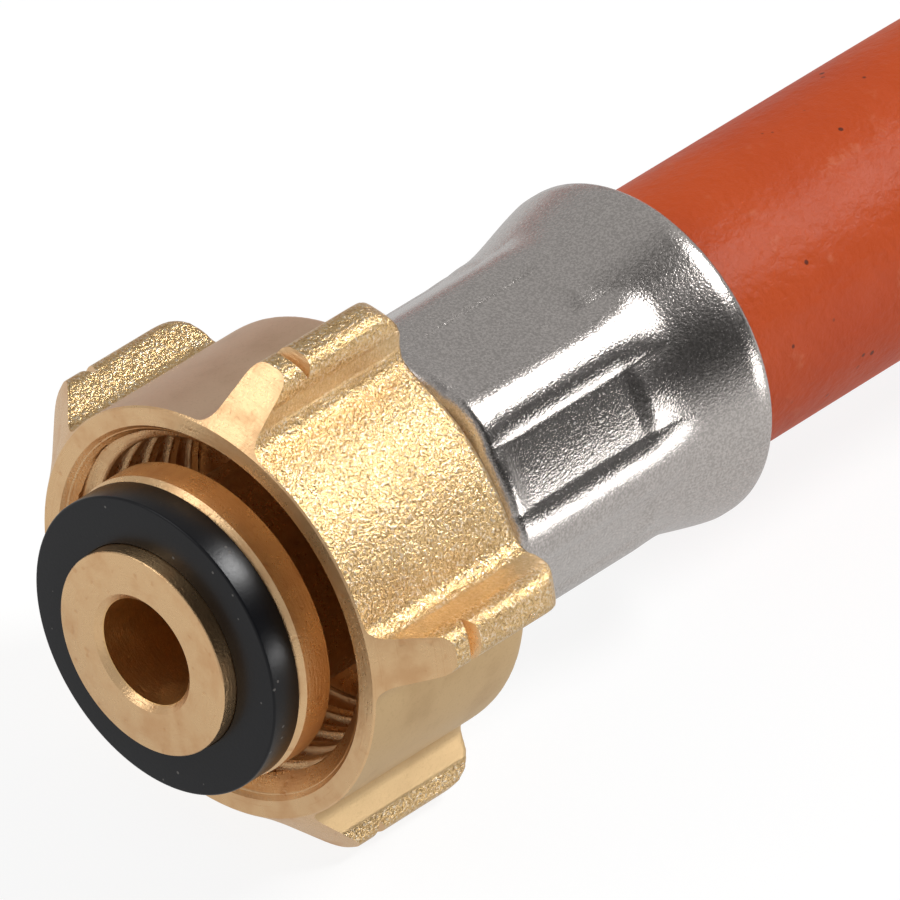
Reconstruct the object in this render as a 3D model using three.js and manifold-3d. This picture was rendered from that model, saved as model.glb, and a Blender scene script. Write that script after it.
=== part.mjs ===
// Rubber gas hose with a winged union nut on one end and a plain hexagon union nut on the other.
// Millimetres, +Z up. Both fittings lie along X; the hose leaves each of them towards +X and lies in a U.
import * as THREE from 'three';
import { mergeVertices } from 'three/addons/utils/BufferGeometryUtils.js';
import Module from 'manifold-3d';

const wasm = await Module();
wasm.setup();

// Clearances
const seatClearance = 0.15;      // between pieces that sit fast on each other
const turningClearance = 0.4;    // between a union nut and the nipple that it turns on
const bellClearance = 0.85;      // between the hose and the inside of the uncrimped bell
const hoseMouthClearance = 0.3;  // between the hose and the bell of its ferrule

// Hose
const hoseDiameter = 16.4;
const hoseBore = 6.3;
const crimpedHoseDiameter = 15.3;
const hoseSides = 12;
const hoseSteps = 18;
const hoseJoinOverlap = 1.0;     // how far the crimped rubber runs into the plain tube

// Nipple: nose, seal seat and flange, stations measured back from the nose face
const noseDiameter = 12.24;
const noseBore = 6.4;
const noseBoreChamfer = 0.4;
const noseEdgeChamfer = 0.2;
const noseStandout = 1.0;        // how far the nose stands out of the seal
const sealThickness = 2.0;
const sealDiameter = 17.9;
const sealEdgeRadius = 0.3;
const flangeDiameter = 18.1;
const flangeThickness = 2.2;
const flangeChamfer = 0.35;
const shankDiameter = 13.0;
const wideBoreDepth = 14.0;
const boreTaper = 1.2;

// Tail of a nipple, inside the ferrule and the hose
const neckDiameter = 11.0;
const lockCollarDiameter = 12.4;
const lockCollarThickness = 0.9;
const tailBore = 4.6;
const barbDiameter = 7.6;
const barbRootDiameter = 6.8;
const barbCount = 3;

// Wing nut, slid back on the nipple
const threadDiameter = 21.8;
const threadDepth = 1.0;
const threadChamfer = 0.35;      // beyond the thread, at the mouth
const nutWall = 1.5;             // outside the thread
const rimStep = 0.1;             // from the forged wall down to the turned rim
const nutBodyDiameter = threadDiameter + 2 * nutWall;
const rimOuterDiameter = nutBodyDiameter - 2 * rimStep;
const rimChamferDiameter = threadDiameter + 2 * threadChamfer;
const nutLength = 12.3;
const nutSetBack = 5.2;          // from the nose face to the rim of the nut
const nutCollarThickness = 2.6;
const nutRearRadius = 0.6;
const wingCount = 5;
const wingSpan = 31.0;           // diameter over the wing crests
const wingCrestWidth = 2.5;
const wingRootWidth = 2.9;
const wingCrestRadius = 0.65;
const wingFilletRadius = 1.1;
const wingRearRadius = 1.5;
const markGrooveSetBack = 4.8;   // from the rim to the V groove turned across the wing crests
const markGrooveDepth = 0.8;
const markGrooveWidth = 1.1;

// Ferrule, crimped by a ring of jaws, with an uncrimped bell at the hose
const ferruleSetBack = 2.5;      // free run of the wing nut behind its rear face
const ferruleLength = 19.8;
const ferruleFrontWall = 1.3;
const ferruleShoulderRadius = 0.9;
const jawCount = 7;
const jawLength = 11.3;
const jawMarkDepth = 0.2;        // step at both ends of a jaw mark
const crimpWall = 1.0;           // of the ferrule under the jaw marks
const ridgeRise = 0.55;          // of the ridges between the jaws, over the jaw marks
const ridgeRadius = 2.9;
const ridgeAngle = 118;          // where one ridge lies, degrees from +Y towards +Z
const ferruleSides = 42;         // a multiple of the number of jaws
const bellWall = 1.2;
const bellRise = 4.4;            // length of the slope from the crimp up to the bell
const bellLipRadius = 0.6;

// Far fitting
const hexAcrossFlats = 24.0;
const hexLength = 15.0;
const hexSetBack = 3.2;          // from the tip of the far nipple to the mouth of its nut
const hexThreadBore = 18.4;
const hexMouthChamfer = 1.0;
const hexCollarThickness = 3.0;
const hexCornerLength = 0.9;
const hexCornerDepth = 1.5;
const ballDiameter = 15.8;
const ballTipDiameter = 9.0;

// Faceting
const turnedSides = 40;
const cornerSteps = 3;

// Stations along a fitting, from the nose face
const sealFront = noseStandout;
const flangeFront = sealFront + sealThickness + seatClearance;
const flangeRear = flangeFront + flangeThickness;
const nutFront = nutSetBack;
const nutRear = nutFront + nutLength;
const ferruleFront = nutRear + ferruleSetBack;
const ferruleMouth = ferruleFront + ferruleLength;
const crimpFront = ferruleFront + ferruleShoulderRadius;
const crimpRear = crimpFront + jawLength;
const bellStart = crimpRear + bellRise;
const shankEnd = ferruleFront - seatClearance;
const lockCollarFront = ferruleFront + ferruleFrontWall + seatClearance;
const lockCollarRear = lockCollarFront + lockCollarThickness;
const tailEnd = crimpRear;

// Ferrule, from the hose outwards, and where its bell is wide enough for the free hose
const crimpBore = crimpedHoseDiameter / 2 + seatClearance;
const jawMarkDiameter = 2 * (crimpBore + crimpWall);
const ridgeDiameter = jawMarkDiameter + 2 * ridgeRise;
const bellBore = hoseDiameter / 2 + bellClearance;
const bellDiameter = 2 * (bellBore + bellWall);
const hoseStart = crimpRear
  + bellRise * (hoseDiameter / 2 + hoseMouthClearance - crimpBore) / (bellBore - crimpBore);

// The near fitting stands on two wings, with its middle over the origin
const wingPitch = 2 * Math.PI / wingCount;
const axisHeight = (wingSpan / 2 - wingCrestRadius) * Math.cos(wingPitch / 2)
  + (wingCrestWidth / 2 - wingCrestRadius) * Math.sin(wingPitch / 2) + wingCrestRadius;
const nearFace = new THREE.Vector3(-ferruleMouth / 2, 0, axisHeight);

// Route of the free hose, points chosen by hand; its far end places the far fitting, which lies on a flat
const farMouth = new THREE.Vector3(32.2, 190, hexAcrossFlats / 2);
const farFace = new THREE.Vector3(farMouth.x - ferruleMouth, farMouth.y, farMouth.z);
const hoseRoute = [
  new THREE.Vector3(nearFace.x + hoseStart, 0, axisHeight),
  new THREE.Vector3(34, 0, axisHeight),
  new THREE.Vector3(48, 0, 12.95),
  new THREE.Vector3(62, 0, 12.6),
  new THREE.Vector3(86.6, 3.2, 11.7),
  new THREE.Vector3(109.5, 12.7, 10.5),
  new THREE.Vector3(129.2, 27.8, 9.5),
  new THREE.Vector3(144.3, 47.5, 8.8),
  new THREE.Vector3(153.8, 70.4, 8.4),
  new THREE.Vector3(157, 95, 8.35),
  new THREE.Vector3(153.8, 119.6, 8.4),
  new THREE.Vector3(144.3, 142.5, 8.6),
  new THREE.Vector3(129.2, 162.2, 9.1),
  new THREE.Vector3(109.5, 177.3, 9.9),
  new THREE.Vector3(86.6, 186.8, 10.9),
  new THREE.Vector3(62, 190, 11.7),
  new THREE.Vector3(47, 190, farMouth.z),
  new THREE.Vector3(farFace.x + hoseStart, farFace.y, farFace.z),
];

// Solids from three.js geometry, and back

function toSolid(geometry) {
  geometry.deleteAttribute('normal');
  geometry.deleteAttribute('uv');
  const merged = mergeVertices(geometry, 1e-4);
  return new wasm.Manifold(new wasm.Mesh({
    numProp: 3,
    vertProperties: new Float32Array(merged.getAttribute('position').array),
    triVerts: new Uint32Array(merged.getIndex().array),
  }));
}

function toGeometry(solid) {
  const mesh = solid.getMesh();
  const geometry = new THREE.BufferGeometry();
  geometry.setAttribute('position', new THREE.BufferAttribute(new Float32Array(mesh.vertProperties), 3));
  geometry.setIndex(new THREE.BufferAttribute(new Uint32Array(mesh.triVerts), 1));
  geometry.computeVertexNormals();
  return geometry;
}

// A ring turned about X from outline points [station, radius]: front face outwards, outer wall, then back inside
function turned(outline, sides = turnedSides, startAngle = Math.PI / 2) {
  const profile = [...outline, outline[0]].map(([station, radius]) => new THREE.Vector2(radius, station));
  const geometry = new THREE.LatheGeometry(profile, sides, startAngle - Math.PI / 2);
  geometry.rotateZ(-Math.PI / 2);
  return geometry;
}

// Outline points of a round corner about its centre; 0 degrees points outwards, 90 to the rear
function roundCorner(station, radius, cornerRadius, from, to, steps = cornerSteps) {
  const points = [];
  for (let i = 0; i <= steps; i += 1) {
    const angle = THREE.MathUtils.degToRad(from + (to - from) * i / steps);
    points.push([station + cornerRadius * Math.sin(angle), radius + cornerRadius * Math.cos(angle)]);
  }
  return points;
}

// A flat outline across the axis, its x along Y and its y along Z, drawn out along X
function acrossAxis(shape, start, length) {
  const geometry = new THREE.ExtrudeGeometry(shape, {
    depth: length, steps: 1, bevelEnabled: false, curveSegments: cornerSteps,
  });
  geometry.applyMatrix4(new THREE.Matrix4().makeBasis(
    new THREE.Vector3(0, 1, 0), new THREE.Vector3(0, 0, 1), new THREE.Vector3(1, 0, 0)));
  geometry.translate(start, 0, 0);
  return geometry;
}

function named(name, solid, color, roughness, metalness) {
  const mesh = new THREE.Mesh(toGeometry(solid), new THREE.MeshStandardMaterial({ color, roughness, metalness }));
  mesh.name = name;
  return mesh;
}

// Neck, locking collar and barbed tail of a nipple, from the shank's end to the tail's end and back inside
function tailOutline() {
  const barbPitch = (tailEnd - lockCollarRear) / barbCount;
  const barbFlank = barbPitch / 4;
  const points = [
    [shankEnd, neckDiameter / 2],
    [lockCollarFront, neckDiameter / 2],
    [lockCollarFront, lockCollarDiameter / 2],
    [lockCollarRear, lockCollarDiameter / 2],
  ];
  for (let barb = 0; barb < barbCount; barb += 1) {
    const start = lockCollarRear + barb * barbPitch;
    points.push([start, barbRootDiameter / 2]);
    points.push([start + barbFlank, barbDiameter / 2]);
  }
  points.push([tailEnd, barbRootDiameter / 2]);
  points.push([tailEnd, tailBore / 2]);
  points.push([wideBoreDepth + boreTaper, tailBore / 2]);
  points.push([wideBoreDepth, noseBore / 2]);
  return points;
}

// Turned nipple with a flat nose, the seal's seat and the flange that the wing nut pulls on
function makeNipple() {
  return toSolid(turned([
    [noseBoreChamfer, noseBore / 2],
    [0, noseBore / 2 + noseBoreChamfer],
    [0, noseDiameter / 2 - noseEdgeChamfer],
    [noseEdgeChamfer, noseDiameter / 2],
    [flangeFront, noseDiameter / 2],
    [flangeFront, flangeDiameter / 2 - flangeChamfer],
    [flangeFront + flangeChamfer, flangeDiameter / 2],
    [flangeRear, flangeDiameter / 2],
    [flangeRear, shankDiameter / 2],
    [shankEnd, shankDiameter / 2],
    ...tailOutline(),
  ]));
}

// Turned nipple with a ball nose
function makeFarNipple() {
  const ballRadius = ballDiameter / 2;
  const tipAngle = THREE.MathUtils.radToDeg(Math.acos(ballTipDiameter / ballDiameter));
  const shankAngle = THREE.MathUtils.radToDeg(Math.acos(shankDiameter / ballDiameter));
  const ballCentre = ballRadius * Math.sin(THREE.MathUtils.degToRad(tipAngle));
  return toSolid(turned([
    [noseBoreChamfer, noseBore / 2],
    [0, noseBore / 2 + noseBoreChamfer],
    ...roundCorner(ballCentre, 0, ballRadius, -tipAngle, shankAngle, 2 * cornerSteps),
    [shankEnd, shankDiameter / 2],
    ...tailOutline(),
  ]));
}

function makeSealRing() {
  const inner = noseDiameter / 2 + seatClearance;
  const outer = sealDiameter / 2;
  const rear = sealFront + sealThickness;
  return toSolid(turned([
    [sealFront, inner],
    ...roundCorner(sealFront + sealEdgeRadius, outer - sealEdgeRadius, sealEdgeRadius, -90, 0),
    [rear, outer],
    [rear, inner],
  ]));
}

// Cross-section of a wing that points up, its foot sunk halfway into the wall of the nut, with root fillets
function wingSection(wingFoot) {
  const crest = wingSpan / 2;
  const halfFoot = wingRootWidth / 2 + wingFilletRadius;
  const wallHeight = Math.sqrt((nutBodyDiameter / 2) ** 2 - halfFoot ** 2);
  const corner = wingCrestWidth / 2 - wingCrestRadius;
  const shape = new THREE.Shape();
  shape.moveTo(-halfFoot, wingFoot);
  shape.lineTo(halfFoot, wingFoot);
  shape.absarc(halfFoot, wallHeight + wingFilletRadius, wingFilletRadius, -Math.PI / 2, -Math.PI, true);
  shape.absarc(corner, crest - wingCrestRadius, wingCrestRadius, 0, Math.PI / 2, false);
  shape.absarc(-corner, crest - wingCrestRadius, wingCrestRadius, Math.PI / 2, Math.PI, false);
  shape.absarc(-halfFoot, wallHeight + wingFilletRadius, wingFilletRadius, 0, -Math.PI / 2, true);
  shape.closePath();
  return shape;
}

// Turned form that trims the wings: a 45 degree cone in front, the crest, a round rear corner
function wingTrim(wingFoot) {
  const crest = wingSpan / 2;
  return toSolid(turned([
    [nutFront, wingFoot],
    [nutFront, rimOuterDiameter / 2],
    [nutFront + crest - rimOuterDiameter / 2, crest],
    ...roundCorner(nutRear - wingRearRadius, crest - wingRearRadius, wingRearRadius, 0, 90),
    [nutRear, wingFoot],
  ], 2 * turnedSides));
}

// The V groove across the wing crests that marks a left-hand thread, cut a little beyond the crest
function markGroove() {
  const crest = wingSpan / 2;
  const middle = nutFront + markGrooveSetBack;
  return toSolid(turned([
    [middle, crest - markGrooveDepth],
    [middle - markGrooveWidth, crest + markGrooveDepth],
    [middle + markGrooveWidth, crest + markGrooveDepth],
  ]));
}

function makeWingNut() {
  const body = nutBodyDiameter / 2;
  const rimChamfer = rimChamferDiameter / 2;
  const bore = threadDiameter / 2 - threadDepth;
  const collarBore = shankDiameter / 2 + turningClearance;
  const collarFront = nutRear - nutCollarThickness;
  const wingFoot = (threadDiameter / 2 + body) / 2;
  let solid = toSolid(turned([
    [nutFront, rimChamfer],
    [nutFront, rimOuterDiameter / 2],
    [nutFront + body - rimOuterDiameter / 2, body],
    ...roundCorner(nutRear - nutRearRadius, body - nutRearRadius, nutRearRadius, 0, 90),
    [nutRear, collarBore],
    [collarFront, collarBore],
    [collarFront, bore],
    [nutFront + rimChamfer - bore, bore],
  ]));
  const trim = wingTrim(wingFoot);
  for (let wing = 0; wing < wingCount; wing += 1) {
    const blade = acrossAxis(wingSection(wingFoot), nutFront, nutLength);
    blade.rotateX(wing * wingPitch);
    solid = solid.add(toSolid(blade).intersect(trim));
  }
  return solid.subtract(markGroove());
}

// Height of a ridge above the jaw marks at an angle around the ferrule
function ridgeHeight(angle) {
  const pitch = 2 * Math.PI / jawCount;
  const fromRidge = angle - THREE.MathUtils.degToRad(ridgeAngle) + pitch / 2;
  const offset = THREE.MathUtils.euclideanModulo(fromRidge, pitch) - pitch / 2;
  const centre = ridgeDiameter / 2 - ridgeRadius;
  const reach = ridgeRadius ** 2 - (centre * Math.sin(offset)) ** 2;
  const ridge = reach > 0 ? centre * Math.cos(offset) + Math.sqrt(reach) : 0;
  return Math.max(ridge - jawMarkDiameter / 2, 0);
}

// Crimped ferrule: the marks of the jaws are turned first, and then the ridges between them are raised
function makeFerrule() {
  const mark = jawMarkDiameter / 2;
  const plain = mark + jawMarkDepth;
  const bell = bellDiameter / 2;
  const neckHole = neckDiameter / 2 + seatClearance;
  const slope = [];
  for (let i = 0; i <= cornerSteps; i += 1) {
    const rise = (1 - Math.cos(Math.PI * i / cornerSteps)) / 2;
    slope.push([crimpRear + bellRise * i / cornerSteps, plain + (bell - plain) * rise]);
  }
  const outline = [
    [ferruleFront, neckHole],
    ...roundCorner(crimpFront, plain - ferruleShoulderRadius, ferruleShoulderRadius, -90, 0),
    [crimpFront + jawMarkDepth, mark],
    [crimpRear - jawMarkDepth, mark],
    ...slope,
    ...roundCorner(ferruleMouth - bellLipRadius, bell - bellLipRadius, bellLipRadius, 0, 90),
    [ferruleMouth, bellBore],
    [bellStart, bellBore],
    [crimpRear, crimpBore],
    [ferruleFront + ferruleFrontWall, crimpBore],
    [ferruleFront + ferruleFrontWall, neckHole],
  ];
  const geometry = turned(outline, ferruleSides, THREE.MathUtils.degToRad(ridgeAngle));
  const position = geometry.getAttribute('position');
  for (let i = 0; i < position.count; i += 1) {
    const station = position.getX(i);
    const radius = Math.hypot(position.getY(i), position.getZ(i));
    if (radius > mark - jawMarkDepth / 2 && station > crimpFront - jawMarkDepth && station < crimpRear + jawMarkDepth) {
      const height = ridgeHeight(Math.atan2(position.getZ(i), position.getY(i)));
      const raised = Math.max(radius, mark + height);
      position.setY(i, position.getY(i) * raised / radius);
      position.setZ(i, position.getZ(i) * raised / radius);
    }
  }
  return toSolid(geometry);
}

// Rubber squeezed between the barbs and the ferrule, run into the end of the plain tube
function crimpedRubber() {
  const overBarbs = barbDiameter / 2 + seatClearance;
  const front = lockCollarRear + seatClearance;
  const rear = hoseStart + hoseJoinOverlap;
  return toSolid(turned([
    [front, overBarbs],
    [front, crimpedHoseDiameter / 2],
    [rear, crimpedHoseDiameter / 2],
    [rear, overBarbs],
  ]));
}

function ringShape(outerDiameter, innerDiameter, sides) {
  const shape = new THREE.Shape();
  const hole = new THREE.Path();
  for (let i = 0; i < sides; i += 1) {
    const angle = i / sides * 2 * Math.PI;
    const x = Math.cos(angle) / 2;
    const y = Math.sin(angle) / 2;
    if (i === 0) {
      shape.moveTo(outerDiameter * x, outerDiameter * y);
      hole.moveTo(innerDiameter * x, innerDiameter * y);
    } else {
      shape.lineTo(outerDiameter * x, outerDiameter * y);
      hole.lineTo(innerDiameter * x, innerDiameter * y);
    }
  }
  shape.closePath();
  hole.closePath();
  shape.holes.push(hole);
  return shape;
}

function makeHose() {
  const tube = new THREE.ExtrudeGeometry(ringShape(hoseDiameter, hoseBore, hoseSides), {
    steps: hoseSteps, bevelEnabled: false,
    extrudePath: new THREE.CatmullRomCurve3(hoseRoute, false, 'centripetal'),
  });
  const nearEnd = crimpedRubber().translate(nearFace.toArray());
  const farEnd = crimpedRubber().translate(farFace.toArray());
  return toSolid(tube).add(nearEnd).add(farEnd);
}

// Hexagon union nut of the far end, with a flat face down
function makeHexNut() {
  const front = hexSetBack;
  const rear = front + hexLength;
  const corner = hexAcrossFlats / Math.sqrt(3);
  const bore = hexThreadBore / 2;
  const collarBore = shankDiameter / 2 + turningClearance;
  const collarFront = rear - hexCollarThickness;
  const shape = new THREE.Shape();
  for (let i = 0; i < 6; i += 1) {
    const angle = i * Math.PI / 3;
    if (i === 0) shape.moveTo(corner * Math.cos(angle), corner * Math.sin(angle));
    else shape.lineTo(corner * Math.cos(angle), corner * Math.sin(angle));
  }
  shape.closePath();
  const form = toSolid(turned([
    [front, bore + hexMouthChamfer],
    [front, corner - hexCornerDepth],
    [front + hexCornerLength, corner],
    [rear - hexCornerLength, corner],
    [rear, corner - hexCornerDepth],
    [rear, collarBore],
    [collarFront, collarBore],
    [collarFront, bore],
    [front + hexMouthChamfer, bore],
  ]));
  return toSolid(acrossAxis(shape, front, hexLength)).intersect(form);
}

// The two fittings and the hose
const castBrass = [0xc9a063, 0.4, 1.0];
const turnedBrass = [0xc4a070, 0.3, 1.0];
const satinSteel = [0xb8b4b0, 0.35, 1.0];
const blackRubber = [0x2d2b2d, 0.6, 0.0];
const orangeRubber = [0xc84c1c, 0.55, 0.0];

const nearFitting = new THREE.Group();
nearFitting.position.copy(nearFace);
nearFitting.add(
  named('wing_nut', makeWingNut(), ...castBrass),
  named('seal_ring', makeSealRing(), ...blackRubber),
  named('nipple', makeNipple(), ...turnedBrass),
  named('ferrule', makeFerrule(), ...satinSteel),
);

const farFitting = new THREE.Group();
farFitting.position.copy(farFace);
farFitting.add(
  named('far_nut', makeHexNut(), ...castBrass),
  named('far_nipple', makeFarNipple(), ...turnedBrass),
  named('far_ferrule', makeFerrule(), ...satinSteel),
);

const gasHose = new THREE.Group();
gasHose.add(nearFitting, farFitting, named('hose', makeHose(), ...orangeRubber));

export default gasHose;
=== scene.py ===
import math

import bpy
from mathutils import Matrix, Vector


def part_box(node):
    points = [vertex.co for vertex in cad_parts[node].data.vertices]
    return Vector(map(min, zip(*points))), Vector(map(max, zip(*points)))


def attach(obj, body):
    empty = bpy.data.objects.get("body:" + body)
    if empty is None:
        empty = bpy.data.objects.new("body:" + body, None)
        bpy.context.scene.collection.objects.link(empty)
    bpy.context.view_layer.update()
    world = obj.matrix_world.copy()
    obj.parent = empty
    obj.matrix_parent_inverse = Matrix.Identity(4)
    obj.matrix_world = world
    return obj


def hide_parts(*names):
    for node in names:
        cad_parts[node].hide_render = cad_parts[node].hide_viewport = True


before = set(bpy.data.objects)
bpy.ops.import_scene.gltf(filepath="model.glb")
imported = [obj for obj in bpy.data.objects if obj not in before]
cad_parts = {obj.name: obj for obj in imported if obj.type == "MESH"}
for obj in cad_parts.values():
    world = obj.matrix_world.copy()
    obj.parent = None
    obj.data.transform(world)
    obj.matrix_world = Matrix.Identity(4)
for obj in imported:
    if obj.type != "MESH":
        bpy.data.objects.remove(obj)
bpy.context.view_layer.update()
print("stage: frame loaded")

mm = 0.001
mergeDistance = 1e-6                                  # vertices closer than this are one
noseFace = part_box("nipple")[0].x
axisHeight = (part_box("nipple")[0].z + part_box("nipple")[1].z) / 2
nearAxis = Vector((noseFace, 0, axisHeight))          # where the near fitting's axis meets its nose face
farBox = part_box("far_nipple")
farAxis = Vector((farBox[0].x, (farBox[0].y + farBox[1].y) / 2, (farBox[0].z + farBox[1].z) / 2))


# Camera, at the place that the photograph was taken from

view = {
    "fromNose": (-584.4285, -491.9874, 645.5944),     # mm from the nose face
    "right": (0.68147837, -0.72638324, 0.08918865),
    "down": (-0.41842895, -0.48671633, -0.76682751),
    "forward": (0.60042023, 0.48525725, -0.63562643),
    "sensor": 36.0,
    "lens": 740.0,
    "clipStart": 0.05,
    "clipEnd": 20.0,
}


def makeCamera():
    data = bpy.data.cameras.new("camera")
    data.sensor_width = view["sensor"]
    data.lens = view["lens"]
    data.clip_start = view["clipStart"]
    data.clip_end = view["clipEnd"]
    camera = bpy.data.objects.new("camera", data)
    bpy.context.scene.collection.objects.link(camera)
    right, down, forward = (Vector(view[key]) for key in ("right", "down", "forward"))
    turn = Matrix((right, -down, -forward)).transposed().to_4x4()
    camera.matrix_world = Matrix.Translation(nearAxis + Vector(view["fromNose"]) * mm) @ turn
    bpy.context.scene.camera = camera


# Shader nodes

class Wire:
    # an output socket that adds Math nodes when it is used in an expression

    def __init__(self, tree, socket):
        self.tree = tree
        self.socket = socket

    def maths(self, operation, *values):
        node = self.tree.nodes.new("ShaderNodeMath")
        node.operation = operation
        for slot, value in zip(node.inputs, values):
            if isinstance(value, Wire):
                self.tree.links.new(value.socket, slot)
            else:
                slot.default_value = value
        return Wire(self.tree, node.outputs[0])

    def __add__(self, other):
        return self.maths("ADD", self, other)

    def __radd__(self, other):
        return self.maths("ADD", other, self)

    def __sub__(self, other):
        return self.maths("SUBTRACT", self, other)

    def __rsub__(self, other):
        return self.maths("SUBTRACT", other, self)

    def __mul__(self, other):
        return self.maths("MULTIPLY", self, other)

    def __rmul__(self, other):
        return self.maths("MULTIPLY", other, self)

    def __pow__(self, other):
        return self.maths("POWER", self, other)

    def __rpow__(self, other):
        return self.maths("POWER", other, self)


class Nodes:
    # a node tree, and the one method that all other nodes come from

    def __init__(self, tree):
        self.tree = tree

    def add(self, kind, settings, sockets):
        node = self.tree.nodes.new(kind)
        for name, value in settings.items():
            setattr(node, name, value)
        self.fill(node, sockets)
        return node

    def fill(self, node, sockets):
        for name, value in sockets.items():
            if isinstance(value, Wire):
                self.tree.links.new(value.socket, node.inputs[name])
            else:
                node.inputs[name].default_value = value

    def pick(self, node, output):
        return Wire(self.tree, node.outputs[output])

    def ramp(self, value, low, high, start=0.0, end=1.0):
        sockets = {"Value": value, "From Min": low, "From Max": high, "To Min": start, "To Max": end}
        node = self.add("ShaderNodeMapRange", {"interpolation_type": "SMOOTHSTEP"}, sockets)
        return self.pick(node, "Result")

    def mixShaders(self, factor, first, second):
        sockets = {0: factor, 1: self.pick(first, 0), 2: self.pick(second, 0)}
        return self.pick(self.add("ShaderNodeMixShader", {}, sockets), 0)


class Finish(Nodes):
    # one material, with a Principled shader at its end

    def __init__(self, name, **fixed):
        self.material = bpy.data.materials.new(name)
        self.material.use_nodes = True
        super().__init__(self.material.node_tree)
        self.shader = self.tree.nodes["Principled BSDF"]
        self.fill(self.shader, fixed)
        self.place = self.pick(self.add("ShaderNodeTexCoord", {}, {}), "Object")

    def noise(self, vector, scale, detail=2.0, rough=0.5):
        sockets = {"Vector": vector, "Scale": scale, "Detail": detail, "Roughness": rough}
        return self.pick(self.add("ShaderNodeTexNoise", {}, sockets), "Fac")

    def cells(self, vector, scale):
        node = self.add("ShaderNodeTexVoronoi", {}, {"Vector": vector, "Scale": scale})
        return self.pick(node, "Distance")

    def band(self, value, outerLow, innerLow, innerHigh, outerHigh):
        # one between the inner limits, and none outside the outer ones
        return self.ramp(value, outerLow, innerLow) * self.ramp(value, outerHigh, innerHigh)

    def mix(self, factor, first, second):
        node = self.add("ShaderNodeMix", {"data_type": "RGBA"}, {0: factor, 6: first, 7: second})
        return self.pick(node, 2)

    def vector(self, x, y, z):
        return self.pick(self.add("ShaderNodeCombineXYZ", {}, {"X": x, "Y": y, "Z": z}), "Vector")

    def feed(self, socket, value):
        self.fill(self.shader, {socket: value})

    def relief(self, height, depth, strength=1.0):
        sockets = {"Height": height, "Distance": depth * mm, "Strength": strength}
        self.feed("Normal", self.pick(self.add("ShaderNodeBump", {}, sockets), "Normal"))

    def aboutAxis(self, axis):
        # distance along, distance from and angle about a fitting's axis
        split = self.add("ShaderNodeSeparateXYZ", {}, {"Vector": self.place})
        x = self.pick(split, "X") - axis.x
        y = self.pick(split, "Y") - axis.y
        z = self.pick(split, "Z") - axis.z
        radius = (y * y + z * z) ** 0.5
        angle = x.maths("ARCTAN2", z, y)
        return x, radius, angle


def colour(red, green, blue):
    # the linear colour of an 8-bit screen colour
    shares = [level / 255 for level in (red, green, blue)]
    return tuple(s / 12.92 if s <= 0.04045 else ((s + 0.055) / 1.055) ** 2.4 for s in shares) + (1.0,)


# Mesh tools

def deselectAll():
    if bpy.context.object and bpy.context.object.mode != "OBJECT":
        bpy.ops.object.mode_set(mode="OBJECT")
    bpy.ops.object.select_all(action="DESELECT")


def choose(piece):
    deselectAll()
    piece.select_set(True)
    bpy.context.view_layer.objects.active = piece


def mergeDoubles():
    bpy.ops.mesh.select_all(action="SELECT")
    bpy.ops.mesh.remove_doubles(threshold=mergeDistance)
    bpy.ops.mesh.select_all(action="SELECT")


def drawLine(name, points):
    # a line through the points, drawn by extruding one vertex
    deselectAll()
    bpy.ops.mesh.primitive_plane_add(size=mm, location=(0, 0, 0))
    piece = bpy.context.object
    piece.name = name
    bpy.ops.object.mode_set(mode="EDIT")
    bpy.ops.mesh.select_all(action="SELECT")
    bpy.ops.mesh.merge(type="CENTER")
    bpy.ops.transform.translate(value=points[0])
    for before, after in zip(points, points[1:]):
        bpy.ops.mesh.extrude_vertices_move(TRANSFORM_OT_translate={"value": Vector(after) - Vector(before)})
    return piece


def turnPiece(name, outline, axis, steps):
    # a ring from a closed outline of (station, radius) in mm about an axis along X
    points = [axis + Vector((station * mm, 0, radius * mm)) for station, radius in outline]
    piece = drawLine(name, points + points[:1])
    mergeDoubles()
    bpy.ops.mesh.spin(steps=steps, angle=2 * math.pi, center=axis, axis=(1, 0, 0))
    mergeDoubles()
    bpy.ops.mesh.normals_make_consistent(inside=False)
    bpy.ops.object.mode_set(mode="OBJECT")
    return piece


def cornerArc(station, radius, cornerRadius, start, end, steps=5):
    # outline points about a centre; 0 degrees points outwards, 90 to the rear
    angles = [math.radians(start + (end - start) * i / steps) for i in range(steps + 1)]
    return [(station + cornerRadius * math.sin(a), radius + cornerRadius * math.cos(a)) for a in angles]


def smoothStep(share):
    share = min(max(share, 0.0), 1.0)
    return share * share * (3 - 2 * share)


def moveOut(vertex, radius, wanted):
    # from one distance to another from the near fitting's axis
    offset = vertex.co - nearAxis
    vertex.co.y = nearAxis.y + offset.y * wanted / radius
    vertex.co.z = nearAxis.z + offset.z * wanted / radius


def combine(piece, tool, operation):
    choose(piece)
    modifier = piece.modifiers.new("combine", "BOOLEAN")
    modifier.operation = operation
    modifier.solver = "EXACT"
    modifier.object = tool
    bpy.ops.object.modifier_apply(modifier=modifier.name)
    bpy.data.objects.remove(tool)


def smooth(piece, degrees):
    choose(piece)
    bpy.ops.object.shade_smooth_by_angle(angle=math.radians(degrees))


def copyPlaced(piece, name, place):
    # a copy with its own mesh, moved by a matrix
    twin = piece.copy()
    twin.data = piece.data.copy()
    twin.name = name
    bpy.context.scene.collection.objects.link(twin)
    twin.data.transform(place)
    return twin


def settle(piece, materials, body, slotName, *nodes):
    # gives a finished piece its materials and its body, and hides the nodes that it stands for
    faces = [face.material_index for face in piece.data.polygons]
    piece.data.materials.clear()
    for material in materials:
        piece.data.materials.append(material)
    for face, index in zip(piece.data.polygons, faces):
        face.material_index = min(index, len(materials) - 1)
    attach(piece, body)
    if nodes:
        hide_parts(*nodes)


# Turned brass, for the nipples, the wing nut's machined faces and the far nut, with levels from 0 to 255

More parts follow.
